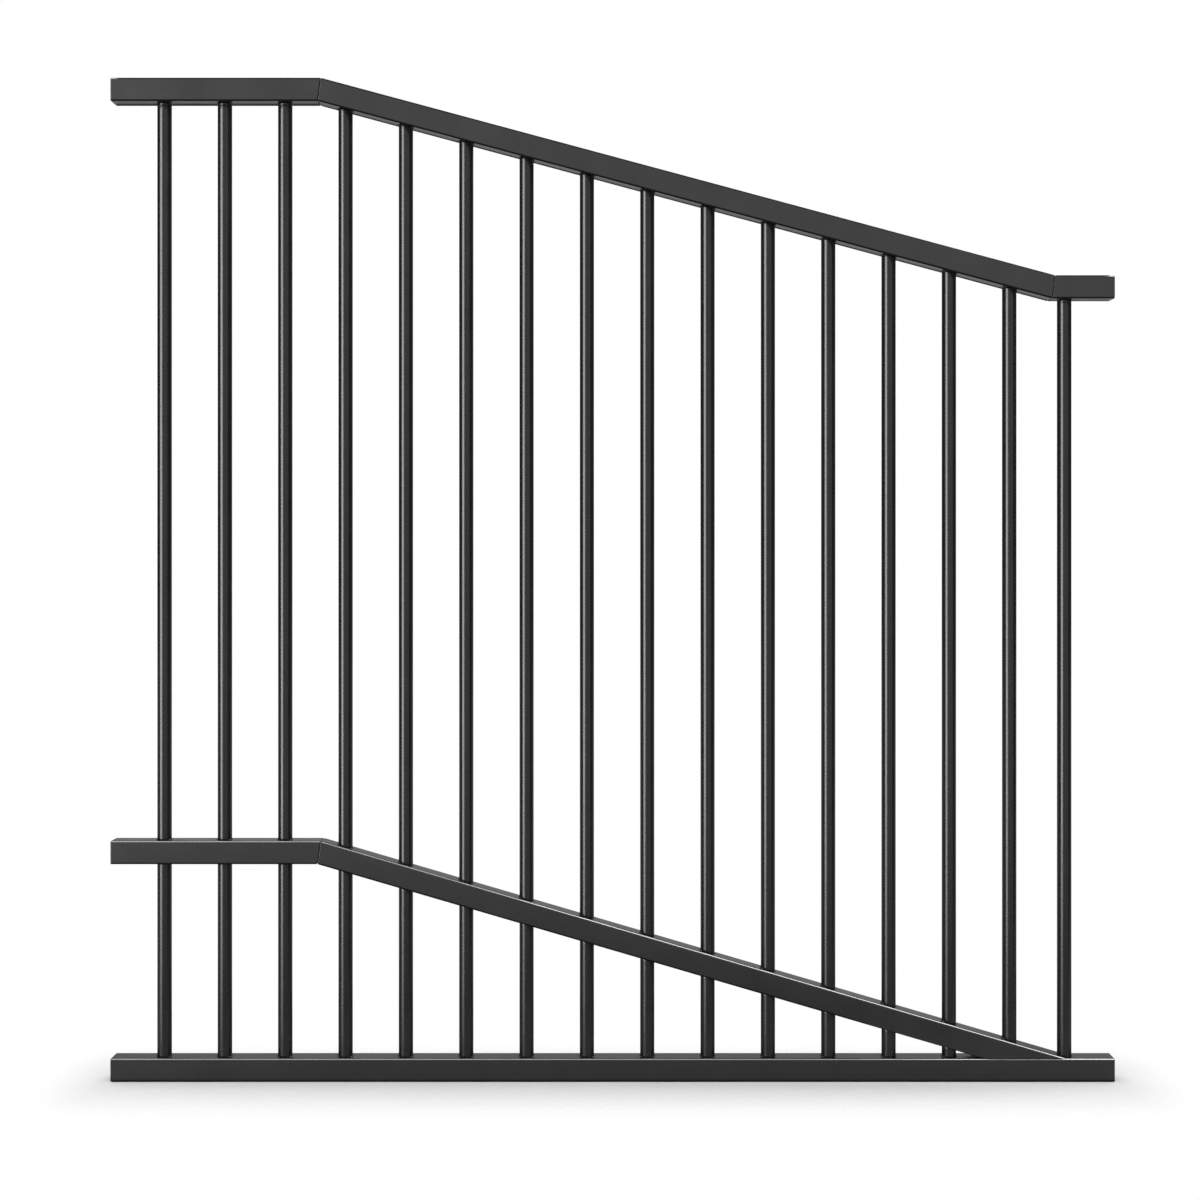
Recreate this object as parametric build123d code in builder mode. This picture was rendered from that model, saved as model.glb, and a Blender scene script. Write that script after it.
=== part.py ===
from build123d import *
import os

# Raked pool fence panel: a welded aluminium frame of square tube rails and round tube pickets.
# Millimetres. X runs along the panel from its tall end, Y through its depth, Z up from the ground.
# The origin is at the foot of the bottom rail's tall end, halfway through the rail's depth.

# Panel outline, to the top edges of the rails
panel_length = 1500.0
tall_height = 1500.0
low_height = 1205.0
middle_height = 360.0
tall_level_length = 314.0
low_level_length = 89.0

# Square tube of the rails
rail_height = 35.0
rail_depth = 35.0
rail_wall = 2.0
rail_outer_radius = 3.0
rail_inner_radius = 1.0

# Round tube of the pickets, where their axes stand, and the room round them in the punched middle rail
picket_diameter = 21.3
picket_wall = 1.6
picket_count = 16
first_picket_from_tall_end = 77.0
last_picket_from_low_end = 72.0
last_bay = 82.5
hole_clearance = 0.2

# Picket axes: even bays from the tall end, then one narrower bay to the last picket
picket_radius = picket_diameter / 2
hole_radius = picket_radius + hole_clearance
last_picket_x = panel_length - last_picket_from_low_end
even_bay_count = picket_count - 2
even_bay = (last_picket_x - last_bay - first_picket_from_tall_end) / even_bay_count
picket_x = [first_picket_from_tall_end + bay * even_bay for bay in range(even_bay_count + 1)]
picket_x.append(last_picket_x)

# Top edges of the rails, corner by corner. The middle rail runs out at the foot of the last picket.
bottom_line = [Vector(0, 0, rail_height), Vector(panel_length, 0, rail_height)]
middle_line = [
    Vector(0, 0, middle_height),
    Vector(tall_level_length, 0, middle_height),
    Vector(last_picket_x, 0, rail_height),
]
top_line = [
    Vector(0, 0, tall_height),
    Vector(tall_level_length, 0, tall_height),
    Vector(panel_length - low_level_length, 0, low_height),
    Vector(panel_length, 0, low_height),
]


def run_directions(line):
    """Direction of each straight run along a line of corners."""
    return [(end - start).normalized() for start, end in zip(line, line[1:])]


def end_cuts(line):
    """Planes across a line of rails: square at its two free ends, and a mitre at each corner between."""
    along = run_directions(line)
    before = along[:1] + along
    after = along + along[-1:]
    return [
        Plane(origin=corner, x_dir=(0, 1, 0), z_dir=arriving + leaving)
        for corner, arriving, leaving in zip(line, before, after)
    ]


def underside_corners(line):
    """Corners on the underside of a line of rails, where its cuts come out."""
    along = run_directions(line)
    return [
        cut.origin - cut.y_dir * (rail_height / cut.z_dir.dot(direction))
        for cut, direction in zip(end_cuts(line), along + along[-1:])
    ]


def make_rail(name, start, end, start_cut, end_cut, holes=None):
    """One length of rail below the top edge from start to end, cut at both ends."""
    overrun = rail_height
    section = Plane(origin=start, x_dir=(0, 1, 0), z_dir=end - start).offset(-overrun)
    with BuildPart() as rail:
        with BuildSketch(section):
            with Locations((0, -rail_height / 2)):
                RectangleRounded(rail_depth, rail_height, rail_outer_radius)
                RectangleRounded(
                    rail_depth - 2 * rail_wall,
                    rail_height - 2 * rail_wall,
                    rail_inner_radius,
                    mode=Mode.SUBTRACT,
                )
        extrude(amount=(end - start).length + 2 * overrun)
        split(bisect_by=start_cut, keep=Keep.TOP)
        split(bisect_by=end_cut, keep=Keep.BOTTOM)
        if holes:
            add(holes, mode=Mode.SUBTRACT)
    rail.part.label = name
    export_step(rail.part, f"parts/{name}.step")


def make_rails(names, line, cuts, holes=None):
    """The lengths of rail along a line of corners."""
    for name, start, end, start_cut, end_cut in zip(names, line, line[1:], cuts, cuts[1:]):
        make_rail(name, start, end, start_cut, end_cut, holes)


def make_picket(name, x, clear_space):
    """One picket, cut square to stand on the bottom rail and to the slope of the top rail above it."""
    with BuildPart() as picket:
        with BuildSketch(Plane(origin=(x, 0, 0))):
            Circle(picket_radius)
            Circle(picket_radius - picket_wall, mode=Mode.SUBTRACT)
        extrude(amount=max(tall_height, low_height))
        add(clear_space, mode=Mode.INTERSECT)
    picket.part.label = name
    export_step(picket.part, f"parts/{name}.step")


os.makedirs("parts", exist_ok=True)

make_rails(["bottom_rail"], bottom_line, end_cuts(bottom_line))
make_rails(["top_rail_tall_end", "top_rail_raked", "top_rail_low_end"], top_line, end_cuts(top_line))

# The middle rail is punched through for the pickets, and its raked length is cut level
# where it lands on the bottom rail.
with BuildPart() as punched_holes:
    with BuildSketch():
        with Locations(*[(x, 0) for x in picket_x]):
            Circle(hole_radius)
    extrude(amount=max(tall_height, low_height))

landing_cut = Plane(origin=(last_picket_x, 0, rail_height), z_dir=(0, 0, -1))
middle_cuts = end_cuts(middle_line)[:-1] + [landing_cut]
make_rails(["middle_rail_level", "middle_rail_raked"], middle_line, middle_cuts, punched_holes.part)

# The pickets fill the height between the top face of the bottom rail and the underside of the top rail
with BuildPart() as clear_space:
    with BuildSketch(Plane.XZ):
        with BuildLine():
            underside = [(corner.X, corner.Z) for corner in underside_corners(top_line)]
            Polyline((panel_length, rail_height), (0, rail_height), *underside, close=True)
        make_face()
    extrude(amount=rail_depth / 2, both=True)

for number, x in enumerate(picket_x, start=1):
    make_picket(f"picket_{number:02d}", x, clear_space.part)
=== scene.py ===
import math

import bmesh
import bpy
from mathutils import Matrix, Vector


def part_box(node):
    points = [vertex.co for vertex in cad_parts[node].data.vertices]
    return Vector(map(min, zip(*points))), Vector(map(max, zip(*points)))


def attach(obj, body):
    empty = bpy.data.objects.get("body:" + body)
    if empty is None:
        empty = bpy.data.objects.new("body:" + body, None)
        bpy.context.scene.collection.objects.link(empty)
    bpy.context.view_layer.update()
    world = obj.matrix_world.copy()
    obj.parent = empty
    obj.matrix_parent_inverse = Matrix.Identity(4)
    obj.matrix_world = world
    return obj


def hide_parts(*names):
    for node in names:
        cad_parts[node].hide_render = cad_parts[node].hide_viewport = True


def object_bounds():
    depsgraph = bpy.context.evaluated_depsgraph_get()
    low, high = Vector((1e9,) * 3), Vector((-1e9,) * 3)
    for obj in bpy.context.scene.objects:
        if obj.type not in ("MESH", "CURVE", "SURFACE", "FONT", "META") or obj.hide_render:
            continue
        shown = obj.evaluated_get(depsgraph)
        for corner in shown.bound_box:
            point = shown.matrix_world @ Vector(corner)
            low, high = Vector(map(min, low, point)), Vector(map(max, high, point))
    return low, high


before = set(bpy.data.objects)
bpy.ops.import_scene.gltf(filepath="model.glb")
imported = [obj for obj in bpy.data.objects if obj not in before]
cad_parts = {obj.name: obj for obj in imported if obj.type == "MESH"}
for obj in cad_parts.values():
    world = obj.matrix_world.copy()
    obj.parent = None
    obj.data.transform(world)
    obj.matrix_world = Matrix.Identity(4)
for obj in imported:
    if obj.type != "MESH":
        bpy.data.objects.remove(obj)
cad_low, cad_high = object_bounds()


# Bottom rail
# One length of extruded square aluminium tube, sawn square and left open at both ends.
# The corners are rounded by the die, and the sawn edges are eased with a file before coating.

bottom_low, bottom_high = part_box("bottom_rail")
rail_height = bottom_high.z - bottom_low.z
rail_depth = bottom_high.y - bottom_low.y
rail_wall = 0.002
rail_corner = 0.0030
bore_corner = 0.0010
corner_steps = 6
sawn_lip = 0.0013
lip_steps = 3
sharp_edge = math.radians(32)

# How far the powder coat draws back while it melts: fully from an edge, and not at all from a flat
edge_film = 1.0
flat_film = 0.0

# The coat's colours, its roughness, and how much smoother it lies on an edge
coat_dark = (0.0085, 0.0085, 0.0090, 1)
coat_light = (0.0115, 0.0115, 0.0120, 1)
coat_on_edge = (0.0100, 0.0100, 0.0105, 1)
coat_glossiest = 0.21
coat_dullest = 0.27
edge_smoothing = 0.11

# Patterns in the coat: how many to the metre and with how much detail, the heights of the bumps,
# and the range that the noise mostly keeps to
shade_clouds = (35, 3)
gloss_clouds = (14, 4)
orange_peel = (420, 2)
orange_peel_height = 0.000012
powder_grain = (2400, 1)
powder_grain_height = 0.000002
noise_low = 0.3
noise_high = 0.7
rail_shine = 0.5


def tube_outline(width, height, radius):
    """Points round a rectangle with rounded corners, as pairs across and up from its middle."""
    points = []
    for corner, (side, rise) in enumerate([(1, 1), (-1, 1), (-1, -1), (1, -1)]):
        for step in range(corner_steps + 1):
            turn = math.radians(90 * (corner + step / corner_steps))
            across = side * (width / 2 - radius) + radius * math.cos(turn)
            up = rise * (height / 2 - radius) + radius * math.sin(turn)
            points.append((across, up))
    return points


def corner_film():
    """How far the coat draws back at each point of a tube outline: most in the middle of a corner."""
    one_corner = [edge_film * math.sin(math.pi * step / corner_steps) for step in range(corner_steps + 1)]
    return one_corner * 4


def skin_from_rings(name, rings, film):
    """A closed mesh through a loop of rings, each with as many points.
    Every point also holds how far the coat draws back there."""
    shape = bmesh.new()
    thin_coat = shape.verts.layers.float.new("thin_coat")
    loops = []
    for ring, ring_film in zip(rings, film):
        loop = [shape.verts.new(point) for point in ring]
        for vertex, value in zip(loop, ring_film):
            vertex[thin_coat] = value
        loops.append(loop)
    for loop, onward in zip(loops, loops[1:] + loops[:1]):
        for place in range(len(loop)):
            following = (place + 1) % len(loop)
            shape.faces.new((loop[place], loop[following], onward[following], onward[place]))
    bmesh.ops.recalc_face_normals(shape, faces=shape.faces)
    mesh = bpy.data.meshes.new(name)
    shape.to_mesh(mesh)
    shape.free()
    return mesh


def rounded_lip(radius, start=0.0):
    """Steps round a lip, from a cut face out to the tube's side.
    A step is how far it lies in from the side, and how far back from the cut."""
    steps = []
    for step in range(lip_steps + 1):
        turn = math.radians(90 * step / lip_steps)
        steps.append((radius * (1 - math.sin(turn)), start + radius * (1 - math.cos(turn))))
    return steps


sawn_end = rounded_lip(sawn_lip)


def rail_mesh(name, start, end, start_cut, end_cut, start_lip=sawn_end, end_lip=sawn_end):
    """A length of square tube below the top edge from start to end.
    A cut is a point on it and the direction across it, and a lip is the shape of the tube's edge there."""
    along = (end - start).normalized()
    up = Vector((-along.z, 0, along.x))
    middle = start - up * (rail_height / 2)

    def ring(inset, corner, cut, back):
        point, facing = cut
        outline = tube_outline(rail_depth - 2 * inset, rail_height - 2 * inset, corner)
        placed = [middle + Vector((0, across, 0)) + up * rise for across, rise in outline]
        return [p + along * ((point - p).dot(facing) / along.dot(facing) + back) for p in placed]

    corners = corner_film()
    worn = [edge_film] * len(corners)
    rings, film = [], []
    for inset, back in start_lip:
        rings.append(ring(inset, rail_corner - inset, start_cut, back))
        film.append(worn if inset else corners)
    for inset, back in reversed(end_lip):
        rings.append(ring(inset, rail_corner - inset, end_cut, -back))
        film.append(worn if inset else corners)
    for cut in (end_cut, start_cut):
        rings.append(ring(rail_wall, bore_corner, cut, 0.0))
        film.append([flat_film] * len(corners))
    return skin_from_rings(name, rings, film)


def satin_black_powder_coat(name, shine):
    """Baked polyester powder: near black and satin, with fine orange peel.
    Its film is thinner and smoother on the edges."""
    coat = bpy.data.materials.new(name)
    coat.use_nodes = True
    nodes, links = coat.node_tree.nodes, coat.node_tree.links
    surface = nodes["Principled BSDF"]
    surface.inputs["Specular IOR Level"].default_value = shine
    place = nodes.new("ShaderNodeTexCoord").outputs["Object"]

    def noise(scale, detail):
        pattern = nodes.new("ShaderNodeTexNoise")
        pattern.inputs["Scale"].default_value = scale
        pattern.inputs["Detail"].default_value = detail
        links.new(place, pattern.inputs["Vector"])
        return pattern.outputs["Fac"]

    def spread(value, low, high):
        ranged = nodes.new("ShaderNodeMapRange")
        ranged.inputs["From Min"].default_value = noise_low
        ranged.inputs["From Max"].default_value = noise_high
        ranged.inputs["To Min"].default_value = low
        ranged.inputs["To Max"].default_value = high
        links.new(value, ranged.inputs["Value"])
        return ranged.outputs["Result"]

    def bump(pattern, height):
        raised = nodes.new("ShaderNodeBump")
        raised.inputs["Strength"].default_value = 1
        raised.inputs["Distance"].default_value = height
        links.new(pattern, raised.inputs["Height"])
        return raised

    thin_coat = nodes.new("ShaderNodeAttribute")
    thin_coat.attribute_name = "thin_coat"

    shade = nodes.new("ShaderNodeMix")
    shade.data_type = "RGBA"
    shade.inputs["A"].default_value = coat_dark
    shade.inputs["B"].default_value = coat_light
    links.new(spread(noise(*shade_clouds), 0, 1), shade.inputs["Factor"])
    edge_shade = nodes.new("ShaderNodeMix")
    edge_shade.data_type = "RGBA"
    edge_shade.inputs["B"].default_value = coat_on_edge
    links.new(thin_coat.outputs["Fac"], edge_shade.inputs["Factor"])
    links.new(shade.outputs["Result"], edge_shade.inputs["A"])
    links.new(edge_shade.outputs["Result"], surface.inputs["Base Color"])

    smoother = nodes.new("ShaderNodeMath")
    smoother.operation = "MULTIPLY_ADD"
    smoother.inputs[1].default_value = -edge_smoothing
    links.new(thin_coat.outputs["Fac"], smoother.inputs[0])
    links.new(spread(noise(*gloss_clouds), coat_glossiest, coat_dullest), smoother.inputs[2])
    links.new(smoother.outputs["Value"], surface.inputs["Roughness"])

    peel = bump(noise(*orange_peel), orange_peel_height)
    grain = bump(noise(*powder_grain), powder_grain_height)
    links.new(peel.outputs["Normal"], grain.inputs["Normal"])
    links.new(grain.outputs["Normal"], surface.inputs["Normal"])
    return coat


rail_coat = satin_black_powder_coat("rail_powder_coat", rail_shine)


def fit_piece(name, mesh, node, coat):
    """Puts a coated piece in the place of its solid."""
    mesh.polygons.foreach_set("use_smooth", [True] * len(mesh.polygons))
    mesh.set_sharp_from_angle(angle=sharp_edge)
    if not mesh.materials:
        mesh.materials.append(coat)
    piece = bpy.data.objects.new(name, mesh)
    bpy.context.scene.collection.objects.link(piece)
    even = piece.modifiers.new("even_flats", "WEIGHTED_NORMAL")
    even.keep_sharp = True
    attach(piece, "root")
    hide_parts(node)


tall_end = bottom_low.x
low_end = bottom_high.x
along_panel = Vector((1, 0, 0))
bottom_start = Vector((tall_end, 0, bottom_high.z))
bottom_finish = Vector((low_end, 0, bottom_high.z))
bottom_tube = rail_mesh(
    "bottom_rail_tube",
    bottom_start,
    bottom_finish,
    (bottom_start, along_panel),
    (bottom_finish, along_panel),
)
fit_piece("bottom_rail_tube", bottom_tube, "bottom_rail", rail_coat)


# Middle rail
# A level length mitred to a raked one, both of the same tube, punched through for every picket.
# The mitre is welded in a narrow groove, which shows under the coat as a fine dark line.
# The raked length is sawn to a long flat point, which is welded down on the bottom rail.

picket_nodes = sorted(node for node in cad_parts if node.startswith("picket_"))
hole_clearance = 0.0002
hole_sides = 64
groove_depth = 0.0014
groove_floor = 0.0001
groove_reach = 0.0008
groove_lip = 0.0005


def picket_axis(node):
    """Where a picket stands along the panel, and its radius."""
    low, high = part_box(node)
    return (low.x + high.x) / 2, (high.x - low.x) / 2


def punches():
    """Upright bars, one for each picket's hole."""
    shape = bmesh.new()
    for node in picket_nodes:
        x, radius = picket_axis(node)
        bar = bmesh.ops.create_cone(
            shape,
            cap_ends=True,
            segments=hole_sides,
            radius1=radius + hole_clearance,
            radius2=radius + hole_clearance,
            depth=cad_high.z,
        )
        bmesh.ops.translate(shape, verts=bar["verts"], vec=(x, 0, cad_high.z / 2))
    mesh = bpy.data.meshes.new("punches")
    shape.to_mesh(mesh)
    shape.free()
    bars = bpy.data.objects.new("punches", mesh)
    bpy.context.scene.collection.objects.link(bars)
    return bars


def punched(mesh, bars):
    """The tube with the bars' holes cut through it."""
    mesh.materials.append(rail_coat)
    blank = bpy.data.objects.new("blank", mesh)
    bpy.context.scene.collection.objects.link(blank)
    cut = blank.modifiers.new("holes", "BOOLEAN")
    cut.operation = "DIFFERENCE"
    cut.solver = "EXACT"
    cut.object = bars
    seen = blank.evaluated_get(bpy.context.evaluated_depsgraph_get())
    holed = bpy.data.meshes.new_from_object(seen)
    holed.name = mesh.name
    bpy.data.objects.remove(blank)
    return holed


def mitre(corner, before, after):
    """The cut that halves the angle at a corner between two runs of rail."""
    arriving = (corner - before).normalized()
    leaving = (after - corner).normalized()
    return corner, (arriving + leaving).normalized()


middle_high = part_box("middle_rail_level")[1]
point_of_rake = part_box("middle_rail_raked")[1].x
middle_line = [
    Vector((tall_end, 0, middle_high.z)),
    Vector((middle_high.x, 0, middle_high.z)),
    Vector((point_of_rake, 0, bottom_high.z)),
]
grooved_mitre = [(groove_depth, 0.0), (groove_depth, groove_floor)] + rounded_lip(groove_lip, groove_reach)
plain_cut = [(0.0, 0.0)]
middle_mitre = mitre(middle_line[1], middle_line[0], middle_line[2])
landing = (middle_line[2], Vector((0, 0, -1)))
bars = punches()
middle_level_tube = rail_mesh(
    "middle_rail_level_tube",
    middle_line[0],
    middle_line[1],
    (middle_line[0], along_panel),
    middle_mitre,
    end_lip=grooved_mitre,
)
middle_raked_tube = rail_mesh(
    "middle_rail_raked_tube",
    middle_line[1],
    middle_line[2],
    middle_mitre,
    landing,
    start_lip=grooved_mitre,
    end_lip=plain_cut,
)
fit_piece("middle_rail_level_tube", punched(middle_level_tube, bars), "middle_rail_level", rail_coat)
fit_piece("middle_rail_raked_tube", punched(middle_raked_tube, bars), "middle_rail_raked", rail_coat)
bpy.data.objects.remove(bars)


# Top rail
# Three lengths of the same tube: level, raked down the slope, and a short level end.
# They are mitred at both bends and welded in the same narrow groove as the middle rail.

top_corner_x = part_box("top_rail_tall_end")[1].x
low_corner_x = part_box("top_rail_raked")[1].x
tall_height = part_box("top_rail_tall_end")[1].z
low_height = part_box("top_rail_low_end")[1].z
top_line = [
    Vector((tall_end, 0, tall_height)),
    Vector((top_corner_x, 0, tall_height)),
    Vector((low_corner_x, 0, low_height)),
    Vector((low_end, 0, low_height)),
]
top_cuts = [
    (top_line[0], along_panel),
    mitre(top_line[1], top_line[0], top_line[2]),
    mitre(top_line[2], top_line[1], top_line[3]),
    (top_line[3], along_panel),
]
top_lips = [sawn_end, grooved_mitre, grooved_mitre, sawn_end]
for run, node in enumerate(["top_rail_tall_end", "top_rail_raked", "top_rail_low_end"]):
    tube = rail_mesh(
        node + "_tube",
        top_line[run],
        top_line[run + 1],
        top_cuts[run],
        top_cuts[run + 1],
        top_lips[run],
        top_lips[run + 1],
    )
    fit_piece(node + "_tube", tube, node, rail_coat)


# Pickets
# Round aluminium tube in one length from rail to rail, through the punched middle rail.
# Short fillet welds on the two sides that face along the panel hold each one at every rail.
# A fine groove stays open between the welds, and the coat is a little duller than on the rails.

picket_wall = 0.0016
picket_sides = 96
picket_shine = 0.32
weld_leg = 0.0022
weld_steps = 4
weld_ripples = 26
weld_ripple_share = 0.08
weld_end_cosine = 0.8
weld_film = -1.0
open_groove = 0.0012
buried = 0.0005


def rail_faces(line, x):
    """Heights of the top face and the underside of a line of rails at x, and their slope there."""
    runs = list(zip(line, line[1:]))
    start, end = next((run for run in runs if x <= run[1].x), runs[-1])
    slope = (end.z - start.z) / (end.x - start.x)
    top = start.z + slope * (x - start.x)
    return top, top - rail_height * math.hypot(1, slope), slope


def weld_rings(height, slope, side):
    """Rings at the height of the welds, from a rail's face up to the bare tube, or down where side is -1.
    A ring is its swell beyond the tube, its height on the axis, its slope and whether it has weld."""
    rings = []
    for step in range(weld_steps + 1):
        turn = math.radians(90 * step / weld_steps)
        swell = weld_leg * (1 - math.sin(turn))
        rings.append((swell, height + side * weld_leg * (1 - math.cos(turn)), slope, True))
    rings.append((0.0, height + side * (weld_leg + buried), slope, False))
    return rings


def picket_rings(x, foot):
    """Rings up the outside of a picket and back down its bore."""
    middle_top, middle_under, middle_slope = rail_faces(middle_line, x)
    head, head_slope = rail_faces(top_line, x)[1:]
    rings = weld_rings(foot, 0.0, 1)
    if middle_under > foot + 2 * weld_leg:
        rings += reversed(weld_rings(middle_under, middle_slope, -1))
        rings.append((weld_leg, middle_under + buried, middle_slope, True))
        rings.append((0.0, middle_under + 2 * buried, middle_slope, False))
    if middle_top > foot + 2 * weld_leg:
        rings.append((0.0, middle_top - 2 * buried, middle_slope, False))
        rings.append((weld_leg, middle_top - buried, middle_slope, True))
        rings += weld_rings(middle_top, middle_slope, 1)
    rings += reversed(weld_rings(head, head_slope, -1))
    rings += [(-picket_wall, head, head_slope, False), (-picket_wall, foot, 0.0, False)]
    return rings


def weld_fullness(turn):
    """How full the welds are at a turn round the picket: full along the panel.
    It is below zero at front and back, where the tube draws in to the open groove."""
    share = (abs(math.cos(turn)) - weld_end_cosine) / (1 - weld_end_cosine)
    if share <= 0:
        return max(-1.0, share) * open_groove / weld_leg
    return math.sqrt(share) * (1 + weld_ripple_share * math.cos(weld_ripples * turn))


def picket_mesh(name, node):
    """One picket with its welds and the open grooves between them. The coat lies thick on the welds."""
    x, radius = picket_axis(node)
    foot = bottom_high.z
    rings, film = [], []
    for swell, height, slope, welded in picket_rings(x, foot):
        ring, ring_film = [], []
        for side in range(picket_sides):
            turn = 2 * math.pi * side / picket_sides
            fullness = weld_fullness(turn)
            reach = radius + (swell * fullness if swell > 0 else swell)
            across = reach * math.cos(turn)
            ring.append((x + across, reach * math.sin(turn), height + slope * across))
            ring_film.append(weld_film if welded and fullness > 0 else flat_film)
        rings.append(ring)
        film.append(ring_film)
    return skin_from_rings(name, rings, film)


picket_coat = satin_black_powder_coat("picket_powder_coat", picket_shine)
for node in picket_nodes:
    fit_piece(node + "_tube", picket_mesh(node + "_tube", node), node, picket_coat)


# Floor
# White matt paper under the panel, which thins out into the white surround a hand's breadth away,
# so that it shows only the soft shadow round the foot of the panel.

floor_shade = 0.91
floor_reach = 0.19
end_fade = 1.7
panel_middle = (cad_low + cad_high) / 2
half_length = (cad_high.x - cad_low.x) / 2
half_depth = (cad_high.y - cad_low.y) / 2


def paper():
    """White paper that thins out to nothing with its distance from the panel's foot."""
    white = bpy.data.materials.new("white_paper")
    white.use_nodes = True
    nodes, links = white.node_tree.nodes, white.node_tree.links
    nodes.clear()
    place = nodes.new("ShaderNodeTexCoord").outputs["Object"]
    for operation, amount in [
        ("ABSOLUTE", None),
        ("SUBTRACT", (half_length, half_depth, 0)),
        ("MAXIMUM", (0, 0, 0)),
        ("MULTIPLY", (end_fade, 1, 1)),
    ]:
        step = nodes.new("ShaderNodeVectorMath")
        step.operation = operation
        links.new(place, step.inputs[0])
        if amount:
            step.inputs[1].default_value = amount
        place = step.outputs["Vector"]
    distance = nodes.new("ShaderNodeVectorMath")
    distance.operation = "LENGTH"
    links.new(place, distance.inputs[0])
    fade = nodes.new("ShaderNodeMapRange")
    fade.interpolation_type = "SMOOTHSTEP"
    fade.inputs["From Max"].default_value = floor_reach
    links.new(distance.outputs["Value"], fade.inputs["Value"])
    matt = nodes.new("ShaderNodeBsdfDiffuse")
    matt.inputs["Color"].default_value = (floor_shade, floor_shade, floor_shade, 1)
    clear = nodes.new("ShaderNodeBsdfTransparent")
    mix = nodes.new("ShaderNodeMixShader")
    links.new(fade.outputs["Result"], mix.inputs["Fac"])
    links.new(matt.outputs["BSDF"], mix.inputs[1])
    links.new(clear.outputs["BSDF"], mix.inputs[2])
    output = nodes.new("ShaderNodeOutputMaterial")
    links.new(mix.outputs["Shader"], output.inputs["Surface"])
    return white


sheet = bmesh.new()
corners = [
    (side * (half_length + floor_reach), rise * (half_depth + floor_reach), 0)
    for side, rise in [(-1, -1), (1, -1), (1, 1), (-1, 1)]
]
sheet.faces.new([sheet.verts.new(corner) for corner in corners])
sheet_mesh = bpy.data.meshes.new("floor")
sheet.to_mesh(sheet_mesh)
sheet.free()
sheet_mesh.materials.append(paper())
floor = bpy.data.objects.new("floor", sheet_mesh)
floor.location = (panel_middle.x, panel_middle.y, cad_low.z)
bpy.context.scene.collection.objects.link(floor)


# Studio light
# A white surround, a tall softbox far off to the front left, and two wide ones overhead.
# Cards all round, mats at the foot and black strips along the rails are there for reflections only:
# they keep the tubes dark, and leave a light streak down each picket and a light line on each rail.

surround = bpy.data.worlds.new("white_surround")
surround.use_nodes = True
surround.node_tree.nodes["Background"].inputs["Color"].default_value = (1, 1, 1, 1)
surround.node_tree.nodes["Background"].inputs["Strength"].default_value = 1.0
bpy.context.scene.world = surround


def bearing(degrees, distance, height):
    """A point round the panel: 0 degrees is straight in front of it and 90 is off its tall end."""
    turn = math.radians(degrees)
    return Vector(
        (panel_middle.x - distance * math.sin(turn), panel_middle.y - distance * math.cos(turn), height)
    )


def towards_panel(place):
    """The turn that faces a lamp at the panel's middle."""
    return (panel_middle - place).to_track_quat("-Z", "Y").to_euler()


def softbox(name, place, turn, width, height, radiance):
    """An even rectangle of light, which only the shine of the coat takes up."""
    lamp = bpy.data.lights.new(name, "AREA")
    lamp.shape = "RECTANGLE"
    lamp.size = width
    lamp.size_y = height
    lamp.energy = radiance * math.pi * width * height
    box = bpy.data.objects.new(name, lamp)
    box.location = place
    box.rotation_euler = turn
    box.visible_camera = False
    box.visible_diffuse = False
    bpy.context.scene.collection.objects.link(box)


face_down = (0, 0, 0)
tall_place = bearing(47, distance=8.0, height=1.68)
strip_place = Vector((1.75, -1.75, 6.0))
rake_place = Vector((5.0, -1.75, 5.9))
softbox("tall_softbox", tall_place, towards_panel(tall_place), width=4.0, height=6.24, radiance=14)
softbox("top_strip", strip_place, face_down, width=10.0, height=6.5, radiance=11)
softbox("rake_strip", rake_place, face_down, width=5.6, height=6.5, radiance=13)


def seen_by_reflections_only(name, shape, shade):
    """A card that stands in the studio for the coat to mirror, and neither shows nor shades anything."""
    mesh = bpy.data.meshes.new(name)
    shape.to_mesh(mesh)
    shape.free()
    tint = bpy.data.materials.new(name)
    tint.use_nodes = True
    matt = tint.node_tree.nodes["Principled BSDF"]
    matt.inputs["Base Color"].default_value = (shade, shade, shade, 1)
    matt.inputs["Specular IOR Level"].default_value = 0
    mesh.materials.append(tint)
    card = bpy.data.objects.new(name, mesh)
    card.visible_camera = False
    card.visible_diffuse = False
    card.visible_shadow = False
    bpy.context.scene.collection.objects.link(card)


black = 0.0
card_distance = 12.0
card_foot = -6.0
card_head = 8.0
low_card_head = -2.15
card_steps = 24


def standing_card(name, first, last, shade, head_height=card_head):
    """A curved card that stands between two bearings."""
    shape = bmesh.new()
    edge = []
    for step in range(card_steps + 1):
        turn = first + (last - first) * step / card_steps
        foot = shape.verts.new(bearing(turn, card_distance, card_foot))
        head = shape.verts.new(bearing(turn, card_distance, head_height))
        edge.append((foot, head))
    for (foot, head), (next_foot, next_head) in zip(edge, edge[1:]):
        shape.faces.new((foot, next_foot, next_head, head))
    seen_by_reflections_only(name, shape, shade)


standing_card("left_card", first=66, last=125, shade=black)
standing_card("left_back_card", first=125, last=160, shade=0.15)
standing_card("right_card", first=-125, last=-56, shade=black)
standing_card("right_back_card", first=-160, last=-125, shade=0.25)
standing_card("back_card", first=160, last=200, shade=0.45)
standing_card("front_card", first=-56, last=33, shade=0.22, head_height=low_card_head)


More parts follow.
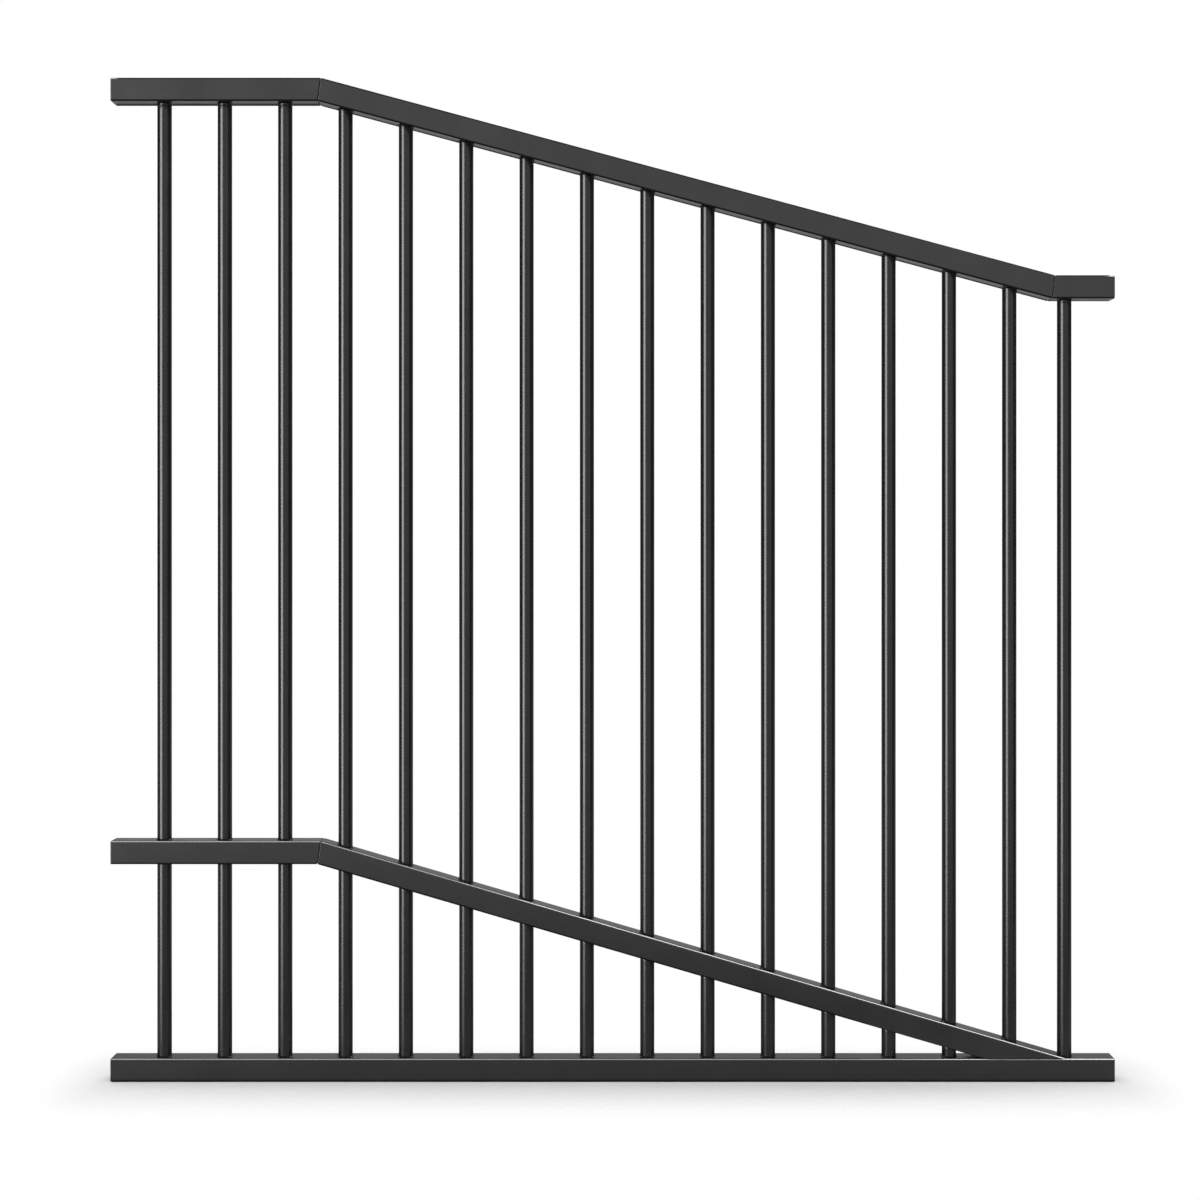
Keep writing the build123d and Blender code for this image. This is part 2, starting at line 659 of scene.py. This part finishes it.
def rail_flag(name, line, rise, near, far):
    """Black strips along a line of rails, before and behind it, which keep the edge that they face dark.
    They lie at a rise over the rails' top edge, between two distances from the panel's middle."""
    shape = bmesh.new()
    for side in (-1, 1):
        edge = []
        for corner in line:
            inner = shape.verts.new(corner + Vector((0, side * near, rise)))
            outer = shape.verts.new(corner + Vector((0, side * far, rise)))
            edge.append((inner, outer))
        for (inner, outer), (next_inner, next_outer) in zip(edge, edge[1:]):
            shape.faces.new((inner, next_inner, next_outer, outer))
    seen_by_reflections_only(name, shape, black)


# The flag under the middle rail stops before the landing, where it would shade the bottom rail
flag_gap = 0.003
flag_near = 0.0125
flag_far = 0.026
flagged_share_of_rake = 0.73
under_rail = -rail_height - flag_gap
under_middle = middle_line[:2] + [middle_line[1].lerp(middle_line[2], flagged_share_of_rake)]
rail_flag("top_flag", top_line, rise=0.03, near=0.0, far=0.06)
rail_flag("under_top_flag", top_line, under_rail, flag_near, flag_far)
rail_flag("under_middle_flag", under_middle, under_rail, flag_near, flag_far)


def level_card(name, height, front, back, beyond, shade):
    """A level card between two distances behind the panel's middle, reaching beyond both its ends."""
    shape = bmesh.new()
    corners = [
        (cad_low.x - beyond, front),
        (cad_high.x + beyond, front),
        (cad_high.x + beyond, back),
        (cad_low.x - beyond, back),
    ]
    shape.faces.new([shape.verts.new((x, y, height)) for x, y in corners])
    seen_by_reflections_only(name, shape, shade)


# The mats lie edge to edge from front to back, with a black one under the bottom rail's front corner. That
# black mat is painted shade: it stands for the contact shadow at the foot, so that the bottom rail's lower
# corner mirrors it dark.
room_beyond = 9.0
mat_beyond = 1.2
mat_lift = 0.0005
shadow_mat_before_rail = 0.010
shadow_mat_under_rail = 0.0015
mat_height = cad_low.z + mat_lift
mat_front = -0.3
near_front = -0.16
foot_front = cad_low.y - shadow_mat_before_rail
foot_back = cad_low.y + shadow_mat_under_rail
near_back = 0.10
middle_back = 0.45
room_back = 11.0
level_card("ceiling", height=6.2, front=-9.0, back=12.0, beyond=room_beyond, shade=0.25)
level_card("near_mat", mat_height, near_front, foot_front, mat_beyond, shade=0.68)
# Painted shade: a black mat in the contact shadow at the bottom rail's foot, seen only in reflections
level_card("foot_shadow_mat", mat_height, foot_front, foot_back, mat_beyond, shade=black)
level_card("middle_mat", mat_height, mat_front, near_front, mat_beyond, shade=0.5)
level_card("near_back_mat", mat_height, foot_back, near_back, mat_beyond, shade=0.6)
level_card("middle_back_mat", mat_height, near_back, middle_back, mat_beyond, shade=0.15)
level_card("back_mat", mat_height, middle_back, room_back, room_beyond, shade=0.5)


# Camera
# Square on to the panel and level, a little above its mid height and under three metres away.
# The photo's scale is in metres to a pixel on the panel's front, and places in it are in its pixels.

photo_size = 1200
photo_scale = 0.0014925
photo_left_end = 110.1
photo_foot = 1082.3
photo_axis = (630, 556)
camera_distance = 2.765
sensor = 36.0

camera = bpy.data.cameras.new("camera")
camera.sensor_width = sensor
camera.lens = sensor * camera_distance / (photo_size * photo_scale)
camera.shift_x = (photo_size / 2 - photo_axis[0]) / photo_size
camera.shift_y = (photo_axis[1] - photo_size / 2) / photo_size
viewpoint = bpy.data.objects.new("camera", camera)
viewpoint.location = (
    cad_low.x + (photo_axis[0] - photo_left_end) * photo_scale,
    cad_low.y - camera_distance,
    cad_low.z + (photo_foot - photo_axis[1]) * photo_scale,
)
viewpoint.rotation_euler = (math.radians(90), 0, 0)
bpy.context.scene.collection.objects.link(viewpoint)
bpy.context.scene.camera = viewpoint
bpy.context.scene.view_settings.view_transform = "Standard"
